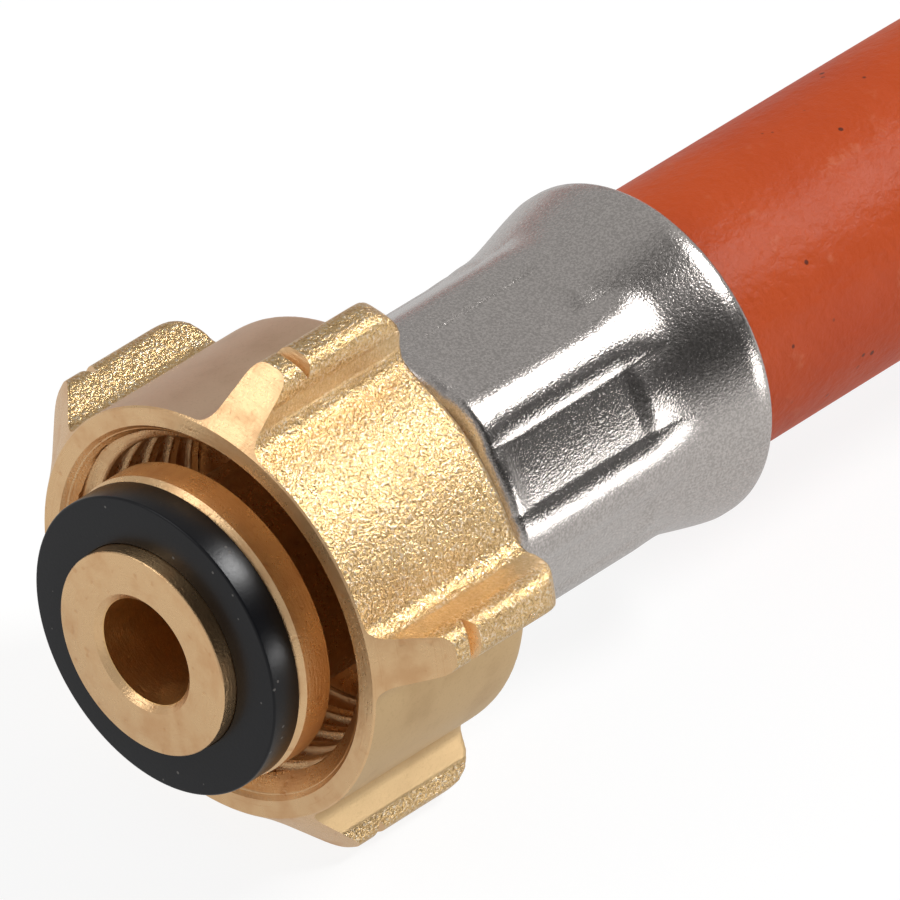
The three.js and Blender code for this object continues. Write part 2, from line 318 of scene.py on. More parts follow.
turnedBrass = {
    "base": (243, 202, 152), "stain": (0.76, 0.56, 0.44, 1.0),
    "stained": 0.38, "spotted": 0.35, "ringed": 0.25,
    "ringScale": 8000.0, "stainScale": 420.0, "grainScale": 6500.0, "dentScale": 1700.0,
    # bore is a brighter orange: painted light, a glow inside the gas bore for the light that reaches in and
    # bounces there
    "bore": (255, 206, 120), "boreGlowReach": (3.3, 3.1), "roughness": 0.24, "relief": 0.018,
}


def turnedBrassFinish(name, axis):
    look = turnedBrass
    paint = Finish(name, Metallic=1.0)
    x, radius, angle = paint.aboutAxis(axis)
    rings = paint.noise(paint.vector(x, radius, angle * 0.0004), look["ringScale"], 3.0, 0.7)
    stains = paint.noise(paint.place, look["stainScale"], 4.0, 0.6)
    grain = paint.noise(paint.place, look["grainScale"], 2.0, 0.7)
    dents = paint.noise(paint.place, look["dentScale"], 1.0)
    spots = paint.ramp(dents, 0.66, 0.78)
    stained = paint.ramp(stains, 0.45, 0.72)
    base = colour(*look["base"])
    dark = tuple(level * share for level, share in zip(base, look["stain"]))
    shade = paint.mix(stained * look["stained"], base, dark)
    shade = paint.mix(spots * look["spotted"], shade, dark)
    # painted light: inside the gas bore the colour turns to the brighter bore orange, a painted glow
    inside = paint.ramp(radius, look["boreGlowReach"][0] * mm, look["boreGlowReach"][1] * mm)
    shade = paint.mix(inside, shade, colour(*look["bore"]))
    shade = paint.mix(paint.ramp(rings, 0.55, 0.75) * look["ringed"], shade, dark)
    paint.feed("Base Color", shade)
    paint.feed("Roughness", look["roughness"] + stained * 0.12 + grain * 0.08 + inside * 0.2)
    paint.relief(rings + grain * 1.2 - spots * 0.7 + stains * 0.5, look["relief"])
    return paint.material


# Forged brass, for the wing nut's skin, with bands in degrees about the axis and in mm from it

forgedBrass = {
    # cream is the colour of painted glints in the blasted grain
    "glintCream": (250, 234, 210), "gold": (231, 194, 137), "tan": (228, 196, 148), "dull": (226, 194, 164),
    "deep": (150, 100, 54), "topSector": (92.0, 96.0, 155.0, 159.0), "leftWing": (-2.0, 3.0, 31.0, 36.0),
    "leftReach": (12.5, 12.75), "trimmedWing": (28.0, 34.0, 86.0, 90.0), "flank": (12.9, 13.3, 14.1, 14.5),
    "crest": (14.2, 14.6), "tear": (0.20, 0.10), "roughness": 0.44, "relief": 0.085,
    "fineScale": 5600.0, "coarseScale": 2600.0, "broadScale": 240.0, "drawnScale": 5200.0,
}


def forgedBrassFinish(axis):
    look = forgedBrass
    paint = Finish("forgedBrass", Metallic=1.0)
    x, radius, angle = paint.aboutAxis(axis)
    degrees = angle * (180 / math.pi)
    reach = radius * (1 / mm)
    fine = paint.noise(paint.place, look["fineScale"], 2.0, 0.7)
    coarse = paint.noise(paint.place, look["coarseScale"], 1.0)
    broad = paint.noise(paint.place, look["broadScale"], 3.0)
    drawn = paint.noise(paint.vector(x * 0.06, radius, angle * 0.0124), look["drawnScale"], 2.0)

    # where the skin is blasted: the wing crests, the sector on top and the wing beside the trimmed one
    sector = paint.band(degrees, *look["topSector"]) * (1.0 - paint.band(reach, *look["flank"]) * 0.65)
    leftWing = paint.band(degrees, *look["leftWing"]) * paint.ramp(reach, *look["leftReach"])
    crest = paint.ramp(reach, *look["crest"])
    grain = sector.maths("MAXIMUM", sector, crest.maths("MAXIMUM", crest, leftWing))

    glintCream, gold, tan, dull, deep = (colour(*look[key]) for key in ("glintCream", "gold", "tan", "dull", "deep"))
    skin = paint.mix(paint.band(degrees, *look["trimmedWing"]), tan, dull)
    skin = paint.mix(grain, skin, gold)
    # painted shade: the deep colour in the grain's pits stands in for their shade; the same deep colour also
    # darkens broad patches at random
    pitShade = paint.ramp(fine, 0.46, 0.34)
    # painted highlights: specks of cream colour in the blasted grain stand in for glints of light
    paintedGlints = paint.ramp(fine, 0.52, 0.64)
    skin = paint.mix(pitShade * (0.08 + grain * 0.42), skin, deep)
    skin = paint.mix(paintedGlints * grain * 0.8, skin, glintCream)
    skin = paint.mix(paint.ramp(broad, 0.45, 0.75) * 0.22, skin, deep)
    paint.feed("Base Color", skin)
    paint.feed("Roughness", look["roughness"] - grain * 0.20 + broad * 0.1)

    # the torn edge behind the turned cone of the left wing
    edge = x - (radius - wingNut["rimRadius"] * mm + wingNut["front"] * mm)
    tear = paint.ramp(edge, look["tear"][0] * mm, look["tear"][1] * mm) * leftWing
    height = (fine + coarse * 0.7) * (0.08 + grain) + drawn * (1.0 - grain) * 0.1 - tear
    paint.relief(height, look["relief"])
    return paint.material


# Satin steel, for the ferrules

satinSteel = {
    "light": (214, 207, 202), "dull": (188, 182, 177), "grainScale": 7000.0, "scratchScale": 4200.0,
    "roughness": 0.19, "relief": 0.021,
}


def steelFinish(axis):
    look = satinSteel
    paint = Finish("satinSteel", Metallic=1.0)
    x, radius, angle = paint.aboutAxis(axis)
    grain = paint.noise(paint.place, look["grainScale"], 2.0, 0.6)
    scratches = paint.noise(paint.vector(x * 0.35, radius, angle * 0.01), look["scratchScale"], 2.0)
    dulled = paint.ramp(grain, 0.62, 0.38)
    paint.feed("Base Color", paint.mix(dulled, colour(*look["light"]), colour(*look["dull"])))
    paint.feed("Roughness", look["roughness"] + grain * 0.12)
    paint.relief(grain + scratches * 0.15, look["relief"])
    return paint.material


# Black rubber with a little dust, for the seal

blackRubber = {
    "black": (11, 12, 17), "dust": (150, 146, 142), "dusted": 0.5, "gloss": 1.38, "roughness": 0.25,
    "relief": 0.008, "strength": 0.6, "fineScale": 5200.0, "dustScale": 900.0,
}


def sealFinish():
    look = blackRubber
    paint = Finish("blackRubber", IOR=look["gloss"])
    fine = paint.noise(paint.place, look["fineScale"], 3.0, 0.6)
    specks = paint.ramp(paint.cells(paint.place, look["dustScale"]), 0.10, 0.06)
    black, dust = colour(*look["black"]), colour(*look["dust"])
    paint.feed("Base Color", paint.mix(specks * look["dusted"], black, dust))
    paint.feed("Roughness", look["roughness"] + fine * 0.1 + specks * 0.2)
    paint.relief(fine, look["relief"], look["strength"])
    return paint.material


# Orange rubber with scuffs, crumbs and specks, for the hose

orangeRubber = {
    "orange": (206, 80, 24), "deep": (197, 71, 20), "dark": (66, 28, 16), "chalk": (226, 140, 104),
    "scuffed": 0.25, "crumbed": 0.6, "specked": 0.85, "gloss": 1.36, "roughness": 0.33,
    "relief": 0.17, "strength": 0.8, "skinScale": 1700.0, "mottleScale": 300.0, "broadScale": 60.0,
    "speckScale": 430.0, "crumbScale": 650.0,
}


def hoseFinish():
    look = orangeRubber
    paint = Finish("orangeRubber", IOR=look["gloss"])
    skin = paint.noise(paint.place, look["skinScale"], 4.0, 0.65)
    mottle = paint.noise(paint.place, look["mottleScale"], 3.0, 0.6)
    broad = paint.noise(paint.place, look["broadScale"], 2.0)
    specks = paint.ramp(paint.cells(paint.place, look["speckScale"]), 0.085, 0.05)
    crumbs = paint.ramp(paint.cells(paint.place, look["crumbScale"]), 0.11, 0.07)
    crumbs = crumbs * paint.ramp(broad, 0.48, 0.56)
    scuffs = paint.ramp(mottle, 0.56, 0.66) * paint.ramp(skin, 0.45, 0.60)
    orange, deep, dark, chalk = (colour(*look[key]) for key in ("orange", "deep", "dark", "chalk"))
    base = paint.mix(paint.ramp(broad, 0.35, 0.65), orange, deep)
    base = paint.mix(scuffs * look["scuffed"], base, chalk)
    base = paint.mix(crumbs * look["crumbed"], base, dark)
    paint.feed("Base Color", paint.mix(specks * look["specked"], base, dark))
    paint.feed("Roughness", look["roughness"] + mottle * 0.2 + skin * 0.1)
    paint.relief(skin * 0.6 + mottle * 1.6, look["relief"], look["strength"])
    return paint.material


# Wing nut

wingNut = {
    "front": 5.2, "length": 12.3, "bodyRadius": 12.4, "rimRadius": 12.3, "chamferRadius": 11.25,
    "boreRadius": 11.0, "collarBoreRadius": 6.9, "collarThickness": 2.6, "collarEdge": 0.2,
    "rearRadius": 0.6,
    "wings": 5, "crestRadius": 15.62, "crestWidth": 2.5, "rootWidth": 2.9, "crestRounding": 0.8,
    "crestSteps": 10, "rootFillet": 1.1, "filletSteps": 8, "footRadius": 11.0,
    "rearRounding": 2.0, "rearSweep": 76, "rearSteps": 9, "rearGap": 0.05,
    "grooveSetBack": 4.8, "grooveDepth": 0.8, "grooveHalfWidth": 0.45,
    "forgingHole": 5.0, "allowance": 0.8, "clearance": 1.0, "steps": 240,
    "voxel": 0.21, "softness": 0.5, "smoothing": 14,
}


def wingBlade():
    # one wing that points up, drawn across the axis and extruded along it
    nut = wingNut
    fillet, rounding = nut["rootFillet"], nut["crestRounding"]
    halfFoot = nut["rootWidth"] / 2 + fillet
    wall = math.sqrt(nut["bodyRadius"] ** 2 - halfFoot ** 2)
    corner = nut["crestWidth"] / 2 - rounding
    top = nut["crestRadius"] - rounding
    outline = [(-halfFoot, nut["footRadius"]), (halfFoot, nut["footRadius"])]
    for i in range(nut["filletSteps"] + 1):
        a = math.radians(-90 - 90 * i / nut["filletSteps"])
        outline.append((halfFoot + fillet * math.cos(a), wall + fillet + fillet * math.sin(a)))
    for i in range(nut["crestSteps"] + 1):
        a = math.radians(90 * i / nut["crestSteps"])
        outline.append((corner + rounding * math.cos(a), top + rounding * math.sin(a)))
    outline += [(-across, up) for across, up in reversed(outline[2:])]
    start = nut["front"] - nut["allowance"]
    points = [nearAxis + Vector((start * mm, across * mm, up * mm)) for across, up in outline]
    blade = drawLine("blade", points + points[:1])
    mergeDoubles()
    bpy.ops.mesh.edge_face_add()
    along = ((nut["length"] + nut["allowance"]) * mm, 0, 0)
    bpy.ops.mesh.extrude_region_move(TRANSFORM_OT_translate={"value": along})
    bpy.ops.mesh.select_all(action="SELECT")
    bpy.ops.mesh.normals_make_consistent(inside=False)
    bpy.ops.object.mode_set(mode="OBJECT")
    return blade


def makeForging():
    # the nut as it leaves the forge: a thick ring and five wings with soft edges
    nut = wingNut
    front, rear, crest = nut["front"] - nut["allowance"], nut["front"] + nut["length"], nut["crestRadius"]
    beyond, rounding = nut["clearance"], nut["rearRounding"]
    ring = turnPiece("forging", [
        (front, nut["forgingHole"]),
        (front, nut["bodyRadius"]),
        *cornerArc(rear - nut["rearRadius"], nut["bodyRadius"] - nut["rearRadius"], nut["rearRadius"], 0, 90),
        (rear, nut["forgingHole"]),
    ], nearAxis, nut["steps"])
    trim = turnPiece("trim", [
        (front - beyond, nut["footRadius"] - beyond),
        (front - beyond, crest + beyond),
        (rear - rounding, crest + beyond),
        *cornerArc(rear - rounding, crest - rounding, rounding, 0, nut["rearSweep"], nut["rearSteps"]),
        (rear - nut["rearGap"], nut["footRadius"] - beyond),
    ], nearAxis, nut["steps"])
    blade = wingBlade()
    blades = []
    for i in range(1, nut["wings"]):
        turn = Matrix.Rotation(math.radians(360 / nut["wings"] * i), 4, "X")
        turn = Matrix.Translation(nearAxis) @ turn @ Matrix.Translation(-nearAxis)
        blades.append(copyPlaced(blade, "blade", turn))
    deselectAll()
    for piece in blades + [blade]:
        piece.select_set(True)
    bpy.context.view_layer.objects.active = blade
    bpy.ops.object.join()
    combine(blade, trim, "INTERSECT")
    choose(ring)
    blade.select_set(True)
    bpy.ops.object.join()
    remesh = ring.modifiers.new("skin", "REMESH")
    remesh.mode = "VOXEL"
    remesh.voxel_size = nut["voxel"] * mm
    bpy.ops.object.modifier_apply(modifier=remesh.name)
    soften = ring.modifiers.new("soften", "SMOOTH")
    soften.factor = nut["softness"]
    soften.iterations = nut["smoothing"]
    bpy.ops.object.modifier_apply(modifier=soften.name)
    return ring


def machined(tool):
    # the faces that a tool leaves on the forging have the second material
    for face in tool.data.polygons:
        face.material_index = 1
    return tool


def makeWingNut(skin, turned):
    nut = wingNut
    front, rear, beyond = nut["front"], nut["front"] + nut["length"], nut["clearance"]
    crest = nut["crestRadius"] + beyond
    body = makeForging()
    for finish in (skin, turned):
        body.data.materials.append(finish)
    form = turnPiece("form", [
        (front, nut["chamferRadius"]),
        (front, nut["rimRadius"]),
        (front + crest - nut["rimRadius"], crest),
        (rear + beyond, crest),
        (rear + beyond, nut["collarBoreRadius"] + (beyond + nut["collarEdge"])),
        (rear - nut["collarEdge"], nut["collarBoreRadius"]),
        (rear - nut["collarThickness"], nut["collarBoreRadius"]),
        (rear - nut["collarThickness"], nut["boreRadius"]),
        (front + nut["chamferRadius"] - nut["boreRadius"], nut["boreRadius"]),
    ], nearAxis, nut["steps"])
    combine(body, machined(form), "INTERSECT")
    middle = front + nut["grooveSetBack"]
    groove = turnPiece("groove", [
        (middle, nut["crestRadius"] - nut["grooveDepth"]),
        (middle - 2 * nut["grooveHalfWidth"], nut["crestRadius"] + nut["grooveDepth"]),
        (middle + 2 * nut["grooveHalfWidth"], nut["crestRadius"] + nut["grooveDepth"]),
    ], nearAxis, nut["steps"])
    combine(body, machined(groove), "DIFFERENCE")
    smooth(body, degrees=32)
    body.name = "wing_nut_body"
    settle(body, [skin, turned], "wing_nut", "forged_brass", "wing_nut")


# The left-hand thread inside the wing nut

nutThread = {
    "minorRadius": 9.9, "majorRadius": 10.85, "pitch": 1.814, "rootShare": 0.38, "flankShare": 0.62,
    "wall": 0.04, "rearGap": 0.05, "leastWall": 0.02, "spacing": 0.09, "steps": 180,
}


def makeThread(finish):
    # a liner in the nut's bore, whose inner wall is moved into a helix
    nut, cut = wingNut, nutThread
    front = nut["front"] + nut["chamferRadius"] - nut["boreRadius"]
    rear = nut["front"] + nut["length"] - nut["collarThickness"] - cut["rearGap"]
    count = int((rear - front) / cut["spacing"])
    stations = [front + (rear - front) * i / count for i in range(count + 1)]
    outline = [(front, nut["boreRadius"] + cut["wall"]), (rear, nut["boreRadius"] + cut["wall"])]
    outline += [(station, cut["minorRadius"]) for station in reversed(stations)]
    liner = turnPiece("wing_nut_thread", outline, nearAxis, cut["steps"])
    for vertex in liner.data.vertices:
        x, y, z = vertex.co - nearAxis
        radius = math.hypot(y, z) / mm
        if radius > nut["boreRadius"]:
            continue
        turn = x / mm / cut["pitch"] + math.atan2(z, y) / (2 * math.pi)
        share = smoothStep(cut["rootShare"] - cut["flankShare"] * math.cos(2 * math.pi * turn))
        wanted = cut["minorRadius"] + (cut["majorRadius"] - cut["minorRadius"]) * share
        cone = nut["chamferRadius"] - (x / mm - nut["front"])
        moveOut(vertex, radius, min(max(wanted, cone), nut["boreRadius"] - cut["leastWall"]))
    smooth(liner, degrees=70)
    settle(liner, [finish], "wing_nut", "forged_brass")


# Nipples and seal

nipple = {
    "noseRadius": 6.12, "edge": 0.12, "edgeSteps": 3, "boreRadius": 3.2, "boreChamfer": 0.38,
    "boreEdgeDepth": 0.02, "boreEdgeWidth": 0.03, "seatStation": 3.05, "seatEdge": 0.05, "flangeRear": 5.35,
    "flangeRadius": 9.05, "flangeChamfer": 0.35, "flangeEdge": 0.06, "flangeRearEdge": 0.1,
    "shankRadius": 6.5, "shankEnd": 19.85, "neckRadius": 5.5, "lockStation": 21.45, "lockRadius": 6.2,
    "lockRear": 22.35, "tailEnd": 32.2, "barbs": 3, "barbRadius": 3.8, "barbRoot": 3.4, "tailBore": 2.3,
    "wideDepth": 14.0, "taper": 1.2, "ballRadius": 7.9, "ballSteps": 24, "tipRadius": 4.5, "steps": 200,
}


def tailOutline():
    # the neck, the lock and the barbs inside the ferrule and the hose, and the gas bore on the way back
    n = nipple
    pitch = (n["tailEnd"] - n["lockRear"]) / n["barbs"]
    points = [(n["shankEnd"], n["neckRadius"]), (n["lockStation"], n["neckRadius"]),
              (n["lockStation"], n["lockRadius"]), (n["lockRear"], n["lockRadius"])]
    for barb in range(n["barbs"]):
        start = n["lockRear"] + barb * pitch
        points += [(start, n["barbRoot"]), (start + pitch / 4, n["barbRadius"])]
    points += [(n["tailEnd"], n["barbRoot"]), (n["tailEnd"], n["tailBore"]),
               (n["wideDepth"] + n["taper"], n["tailBore"]), (n["wideDepth"], n["boreRadius"])]
    return points


def makeNipple(finish):
    n = nipple
    edge, chamfer, seatEdge, rearEdge = n["edge"], n["flangeChamfer"], n["seatEdge"], n["flangeRearEdge"]
    piece = turnPiece("nipple_turned", [
        (n["boreChamfer"], n["boreRadius"]),
        (n["boreEdgeDepth"], n["boreRadius"] + n["boreChamfer"]),
        (0.0, n["boreRadius"] + n["boreChamfer"] + n["boreEdgeWidth"]),
        *cornerArc(edge, n["noseRadius"] - edge, edge, -90, 0, n["edgeSteps"]),
        (n["seatStation"], n["noseRadius"]),
        (n["seatStation"], n["flangeRadius"] - chamfer - seatEdge),
        (n["seatStation"] + seatEdge, n["flangeRadius"] - chamfer),
        (n["seatStation"] + chamfer, n["flangeRadius"] - seatEdge),
        (n["seatStation"] + chamfer + n["flangeEdge"], n["flangeRadius"]),
        (n["flangeRear"] - rearEdge, n["flangeRadius"]),
        (n["flangeRear"], n["flangeRadius"] - rearEdge),
        (n["flangeRear"], n["shankRadius"]),
        (n["shankEnd"], n["shankRadius"]),
        *tailOutline(),
    ], nearAxis, n["steps"])
    smooth(piece, degrees=30)
    settle(piece, [finish], "hose_and_fittings", "turned_brass", "nipple")


def makeFarNipple(finish):
    # a ball nose, from its flat tip to the shank
    n = nipple
    tip = math.degrees(math.acos(n["tipRadius"] / n["ballRadius"]))
    shank = math.degrees(math.acos(n["shankRadius"] / n["ballRadius"]))
    centre = n["ballRadius"] * math.sin(math.radians(tip))
    piece = turnPiece("far_nipple_turned", [
        (n["boreChamfer"], n["boreRadius"]),
        (0.0, n["boreRadius"] + n["boreChamfer"]),
        *cornerArc(centre, 0, n["ballRadius"], -tip, shank, n["ballSteps"]),
        (n["shankEnd"], n["shankRadius"]),
        *tailOutline(),
    ], farAxis, n["steps"])
    smooth(piece, degrees=30)
    settle(piece, [finish], "hose_and_fittings", "turned_brass", "far_nipple")
    return piece


seal = {
    "front": 1.0, "rear": 3.0, "innerRadius": 6.14, "innerEdge": 0.05, "outerRadius": 8.95,
    "edgeRadius": 0.14, "edgeSteps": 8, "rearEdge": 0.1, "steps": 200,
}


def makeSeal(finish):
    s = seal
    edge, rearEdge = s["edgeRadius"], s["rearEdge"]
    piece = turnPiece("seal_ring_rubber", [
        (s["front"], s["innerRadius"] + s["innerEdge"]),
        *cornerArc(s["front"] + edge, s["outerRadius"] - edge, edge, -90, 0, s["edgeSteps"]),
        *cornerArc(s["rear"] - rearEdge, s["outerRadius"] - rearEdge, rearEdge, 0, 90),
        (s["rear"], s["innerRadius"]),
        (s["front"] + s["innerEdge"], s["innerRadius"]),
    ], nearAxis, s["steps"])
    smooth(piece, degrees=40)
    settle(piece, [finish], "hose_and_fittings", "seal_rubber", "seal_ring")


# Ferrules

ferrule = {
    "front": 20.0, "length": 19.8, "neckHole": 5.62, "neckWall": 1.3, "shoulder": 0.9, "shoulderSteps": 10,
    "plainRadius": 9.0, "bore": 7.8, "crimpEnd": 32.2,
    "bellRadius": 10.25, "bellStart": 36.6, "bellBore": 9.05,
    "lip": 0.55, "lipSteps": 6, "mouthEdge": 0.02, "boreEdge": 0.3, "boreSteps": 4,
    "jaws": 7, "ridgeAngle": 118.0, "ridgeRise": 0.34, "ridgeHalf": 13.0, "ridgeFullness": 0.85,
    "faceRadius": 8.74, "flatness": 0.8, "jawEdge": 1.4, "stepsPerJaw": 64,
    "frontRings": 6, "frontSpacing": 0.09, "middleRings": 14, "endLength": 1.5, "endRings": 16,
    "endSpacing": 0.1, "bellRings": 24, "fadeGap": 1.2, "bellGap": 1.0,
}


def jawShape(angle, station):
    # radius of the crimped stretch: a ridge, and the face that a jaw left beside it
    f = ferrule
    pitch = 360 / f["jaws"]
    offset = abs((math.degrees(angle) - f["ridgeAngle"] + pitch / 2) % pitch - pitch / 2)
    fall = math.cos(math.pi / 2 * min(offset / f["ridgeHalf"], 1.0)) ** f["ridgeFullness"]
    fromCentre = min(pitch / 2 - offset, pitch / 2 - f["ridgeHalf"])
    face = f["faceRadius"] / math.cos(math.radians(fromCentre * f["flatness"]))
    front = smoothStep((station - (f["front"] + f["shoulder"])) / f["jawEdge"])
    rear = smoothStep((f["crimpEnd"] - station) / f["jawEdge"])
    foot = f["plainRadius"] + (face - f["plainRadius"]) * (front * rear)
    return foot + (f["plainRadius"] + f["ridgeRise"] - foot) * fall


def ringStations(crimp, crimpEnd):
    # rings close together at both ends of the crimp and wider apart between them
    f = ferrule
    stations = [crimp + f["frontSpacing"] * i for i in range(1, f["frontRings"] + 1)]
    first, last = stations[-1], crimpEnd - f["endLength"]
    stations += [first + (last - first) * i / f["middleRings"] for i in range(1, f["middleRings"] + 1)]
    stations += [last + f["endSpacing"] * i for i in range(1, f["endRings"] + 1)]
    return stations


def bellSlope(start, end):
    # half a soft S and half a widening curve, so that the bell still opens at its rim
    f = ferrule
    slope = []
    for i in range(1, f["bellRings"] + 1):
        way = i / f["bellRings"]
        share = (1 - math.cos(math.pi * i / f["bellRings"])) / 4 + way ** 2 / 2
        station = start + (end - start) * i / f["bellRings"]
        slope.append((station, f["plainRadius"] + (f["bellRadius"] - f["plainRadius"]) * share))
    return slope


def makeFerrule(finish):
    f = ferrule
    mouth = f["front"] + f["length"]
    crimp = f["front"] + f["shoulder"]
    lip, boreEdge = f["lip"], f["boreEdge"]
    stations = ringStations(crimp, f["crimpEnd"])
    outline = [
        (f["front"], f["neckHole"]),
        *cornerArc(crimp, f["plainRadius"] - f["shoulder"], f["shoulder"], -90, 0, f["shoulderSteps"]),
        *[(station, f["plainRadius"]) for station in stations],
        *bellSlope(stations[-1], mouth - 2 * lip),
        *cornerArc(mouth - lip, f["bellRadius"] - lip, lip, 0, 90, f["lipSteps"]),
        (mouth - f["mouthEdge"], f["bellBore"] + boreEdge),
        *cornerArc(mouth - boreEdge, f["bellBore"] + boreEdge, boreEdge, 90, 180, f["boreSteps"]),
        (f["bellStart"], f["bellBore"]),
        (f["crimpEnd"], f["bore"]),
        (f["front"] + f["neckWall"], f["bore"]),
        (f["front"] + f["neckWall"], f["neckHole"]),
    ]
    piece = turnPiece("ferrule_sleeve", outline, nearAxis, f["jaws"] * f["stepsPerJaw"])
    fadeLength = f["bellStart"] - f["fadeGap"] - f["crimpEnd"]
    for vertex in piece.data.vertices:
        x, y, z = vertex.co - nearAxis
        station, radius = x / mm, math.hypot(y, z) / mm
        if radius < f["plainRadius"] - f["shoulder"] or station > f["bellStart"] - f["bellGap"]:
            continue
        raised = jawShape(math.atan2(z, y), station) - f["plainRadius"]
        fade = 1 - smoothStep((station - f["crimpEnd"]) / fadeLength)
        rim = min(max((station - f["front"]) / f["shoulder"], 0.0), 1.0)
        share = fade * math.sin(rim * math.pi / 2)
        moveOut(vertex, radius, radius + raised * share)
    smooth(piece, degrees=50)
    twin = copyPlaced(piece, "far_ferrule_sleeve", Matrix.Translation(farAxis - nearAxis))
    settle(piece, [finish], "hose_and_fittings", "plated_steel", "ferrule")
    return twin


# Far nut

farNut = {
    "front": 3.2, "length": 15.0, "flats": 24.0, "bore": 9.2, "mouthChamfer": 1.0, "collarBore": 6.9,
    "collarEdge": 0.2, "collar": 3.0, "cornerLength": 0.9, "cornerDepth": 1.5,
    "edgeWidth": 0.12, "edgeAngle": 25, "edgeSegments": 2, "steps": 160,
}


def makeFarNut(finish):
    # a hexagon with a flat down, cut to a turned form
    n = farNut
    front, rear = n["front"], n["front"] + n["length"]
    corner = n["flats"] / math.sqrt(3)
    deselectAll()
    bpy.ops.mesh.primitive_cylinder_add(vertices=6, radius=corner * mm, depth=n["length"] * mm,
                                        location=farAxis + Vector(((front + rear) / 2 * mm, 0, 0)),
                                        rotation=(0, math.pi / 2, 0))
    piece = bpy.context.object
    bpy.ops.object.transform_apply(location=True, rotation=True, scale=True)
    form = turnPiece("form", [
        (front, n["bore"] + n["mouthChamfer"]),
        (front, corner - n["cornerDepth"]),
        (front + n["cornerLength"], corner),
        (rear - n["cornerLength"], corner),
        (rear, corner - n["cornerDepth"]),
        (rear, n["collarBore"] + n["collarEdge"]),
        (rear - n["collarEdge"], n["collarBore"]),
        (rear - n["collar"], n["collarBore"]),
        (rear - n["collar"], n["bore"]),
        (front + n["mouthChamfer"], n["bore"]),
    ], farAxis, n["steps"])
    combine(piece, form, "INTERSECT")
    piece.name = "far_nut_hexagon"
    choose(piece)
    bevel = piece.modifiers.new("edges", "BEVEL")
    bevel.width = n["edgeWidth"] * mm
    bevel.segments = n["edgeSegments"]
    bevel.limit_method = "ANGLE"
    bevel.angle_limit = math.radians(n["edgeAngle"])
    bpy.ops.object.modifier_apply(modifier=bevel.name)
    smooth(piece, degrees=30)
    settle(piece, [finish], "far_nut", "forged_brass", "far_nut")
    return piece


# Hose, on the route that the solids have

hose = {
    "radius": 8.2, "start": 34.7, "mouth": 39.8, "smoothness": 12, "around": 24,
    "route": [(34, 0, 13.017), (48, 0, 12.95), (62, 0, 12.6), (86.6, 3.2, 11.7), (109.5, 12.7, 10.5),
              (129.2, 27.8, 9.5), (144.3, 47.5, 8.8), (153.8, 70.4, 8.4), (157, 95, 8.35),
              (153.8, 119.6, 8.4), (144.3, 142.5, 8.6), (129.2, 162.2, 9.1), (109.5, 177.3, 9.9),
              (86.6, 186.8, 10.9), (62, 190, 11.7), (47, 190, 12)],
}


def smoothRoute(points, steps):
    # a curve through the points, as the solids' one
    ends = [2 * points[0] - points[1], *points, 2 * points[-1] - points[-2]]
    route = []
    for p0, p1, p2, p3 in zip(ends, ends[1:], ends[2:], ends[3:]):
        d0, d1, d2 = ((b - a).length ** 0.5 for a, b in ((p0, p1), (p1, p2), (p2, p3)))
        t1 = ((p1 - p0) / d0 - (p2 - p0) / (d0 + d1) + (p2 - p1) / d1) * d1
        t2 = ((p2 - p1) / d1 - (p3 - p1) / (d1 + d2) + (p3 - p2) / d2) * d1
        for i in range(steps):
            s = i / steps
            route.append((2 * s ** 3 - 3 * s ** 2 + 1) * p1 + (s ** 3 - 2 * s ** 2 + s) * t1
                         + (-2 * s ** 3 + 3 * s ** 2) * p2 + (s ** 3 - s ** 2) * t2)
    return route + [points[-1]]


def makeHose(finish, *farPieces):
    near = nearAxis + Vector((hose["start"] * mm, 0, 0))
    far = farAxis + Vector((hose["start"] * mm, 0, 0))
    route = smoothRoute([near, *[Vector(p) * mm for p in hose["route"]], far], hose["smoothness"])
    length = sum((b - a).length for a, b in zip(route, route[1:]))
    line = bpy.data.curves.new("hose_rubber", "CURVE")
    line.dimensions = "3D"
    spline = line.splines.new("POLY")
    spline.points.add(len(route) - 1)
    for point, place in zip(spline.points, route):
        point.co = (*place, 1.0)
    line.bevel_depth = hose["radius"] * mm
    line.bevel_resolution = hose["around"]
    line.use_fill_caps = True
    piece = bpy.data.objects.new("hose_rubber", line)
    bpy.context.scene.collection.objects.link(piece)
    choose(piece)
    bpy.ops.object.convert(target="MESH")
    piece = bpy.context.object
    smooth(piece, degrees=60)
    settle(piece, [finish], "hose_and_fittings", "hose_rubber", "hose")
    print("stage: hose of", round(length, 4), "m")


# Studio

studio = {
    "floor": 3.0, "floorColour": (0.86, 0.86, 0.86, 1.0), "floorRoughness": 0.9,
    "floorShare": 0.8, "floorSeen": 1.09, "floorMirrored": 0.67,       # its own light, seen and mirrored
    "room": 0.44, "dark": 0.03, "darkTowards": (0.36, -0.57, 0.74), "darkEdge": 0.58, "darkCore": 0.82,
    "white": (1.0, 1.0, 1.0, 1.0), "lampAim": 20.0,
    "lamps": {
        "key": {"towards": (0.60, -0.256, 0.758), "distance": 0.7, "size": 0.22, "power": 2.9},
        "fill": {"towards": (-0.636, 0.485, 0.60), "distance": 0.9, "size": 0.5, "power": 1.1},
        "side": {"towards": (0.60, -0.80, 0.01), "distance": 0.6, "size": 0.11, "power": 0.5},
    },
}


def makeLamp(name, towards, distance, size, power):
    data = bpy.data.lights.new(name, "AREA")
    data.shape = "DISK"
    data.size = size
    data.energy = power
    lamp = bpy.data.objects.new(name, data)
    bpy.context.scene.collection.objects.link(lamp)
    direction = Vector(towards).normalized()
    aim = nearAxis + Vector((studio["lampAim"] * mm, 0, 0))
    turn = direction.to_track_quat("Z", "Y").to_matrix().to_4x4()
    lamp.matrix_world = Matrix.Translation(aim + direction * distance) @ turn


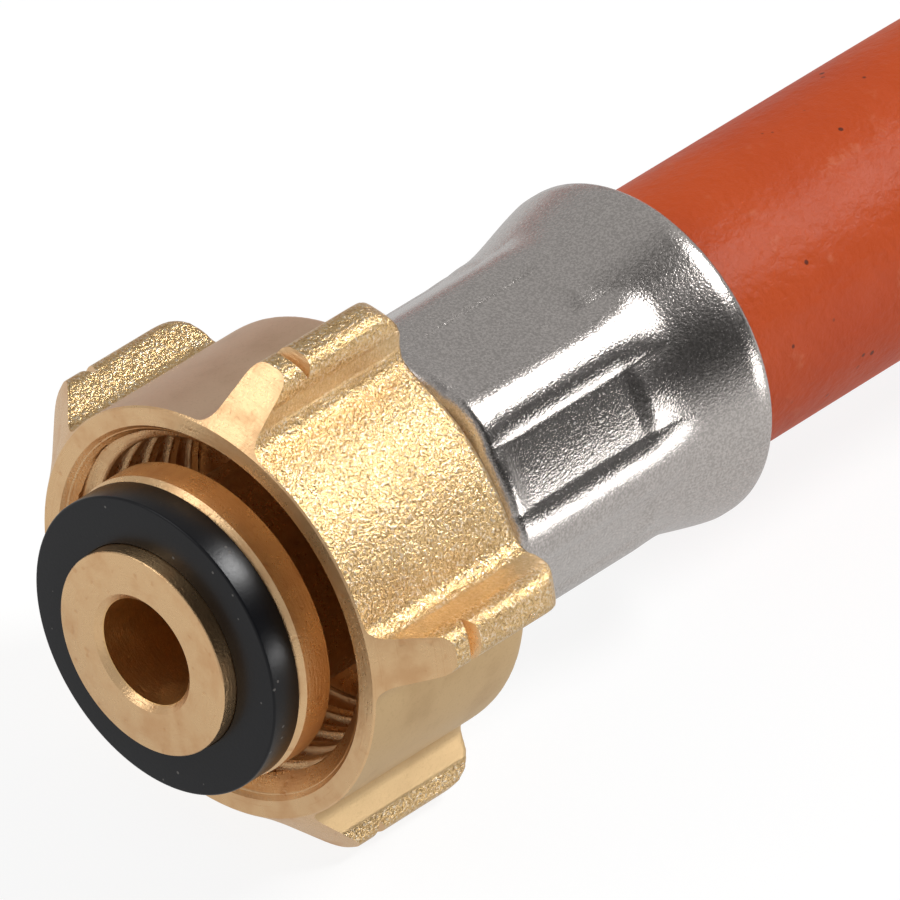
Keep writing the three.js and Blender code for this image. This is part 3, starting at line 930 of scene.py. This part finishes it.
def makeFloor():
    deselectAll()
    bpy.ops.mesh.primitive_plane_add(size=studio["floor"], location=(0, 0, 0))
    floor = bpy.context.object
    floor.name = "floor"
    material = bpy.data.materials.new("paleFloor")
    material.use_nodes = True
    nodes = Nodes(material.node_tree)
    paper = nodes.tree.nodes["Principled BSDF"]
    nodes.fill(paper, {"Base Color": studio["floorColour"], "Roughness": studio["floorRoughness"]})
    rays = nodes.add("ShaderNodeLightPath", {}, {})
    seen = nodes.pick(rays, "Is Camera Ray")
    mirrored = nodes.pick(rays, "Is Glossy Ray")
    light = nodes.ramp(seen, 0.0, 1.0, studio["floorMirrored"], studio["floorSeen"])
    glow = nodes.add("ShaderNodeEmission", {}, {"Color": studio["white"], "Strength": light})
    share = seen.maths("MAXIMUM", seen, mirrored) * studio["floorShare"]
    nodes.fill(nodes.tree.nodes["Material Output"], {"Surface": nodes.mixShaders(share, paper, glow)})
    floor.data.materials.append(material)


def makeRoom():
    # an even room with one dark side, and white where the camera sees it
    world = bpy.data.worlds.new("studio")
    world.use_nodes = True
    bpy.context.scene.world = world
    nodes = Nodes(world.node_tree)
    direction = nodes.pick(nodes.add("ShaderNodeTexCoord", {}, {}), "Generated")
    towards = nodes.add("ShaderNodeVectorMath", {"operation": "DOT_PRODUCT"},
                        {0: direction, 1: Vector(studio["darkTowards"]).normalized()})
    strength = nodes.ramp(nodes.pick(towards, "Value"), studio["darkEdge"], studio["darkCore"],
                          studio["room"], studio["dark"])
    room = nodes.tree.nodes["Background"]
    nodes.fill(room, {"Color": studio["white"], "Strength": strength})
    backdrop = nodes.add("ShaderNodeBackground", {}, {"Color": studio["white"]})
    seen = nodes.pick(nodes.add("ShaderNodeLightPath", {}, {}), "Is Camera Ray")
    nodes.fill(nodes.tree.nodes["World Output"], {"Surface": nodes.mixShaders(seen, room, backdrop)})


makeCamera()
brassForged = forgedBrassFinish(nearAxis)
brassTurned = turnedBrassFinish("turnedBrass", nearAxis)
brassFar = turnedBrassFinish("farBrass", farAxis)
steel = steelFinish(nearAxis)
farSteel = steelFinish(farAxis)

farSleeve = makeFerrule(steel)
settle(farSleeve, [farSteel], "hose_and_fittings", "plated_steel", "far_ferrule")
print("stage: ferrules")
farBall = makeFarNipple(brassFar)
farHexagon = makeFarNut(brassFar)
print("stage: far fitting")
makeHose(hoseFinish(), farSleeve, farBall, farHexagon)
makeNipple(brassTurned)
makeSeal(sealFinish())
print("stage: nipple and seal")
makeWingNut(brassForged, brassTurned)
makeThread(brassTurned)
print("stage: wing nut")
makeFloor()
makeRoom()
for name, lamp in studio["lamps"].items():
    makeLamp(name, **lamp)
bpy.context.scene.view_settings.view_transform = "Standard"
print("stage: studio")

bpy.context.view_layer.update()
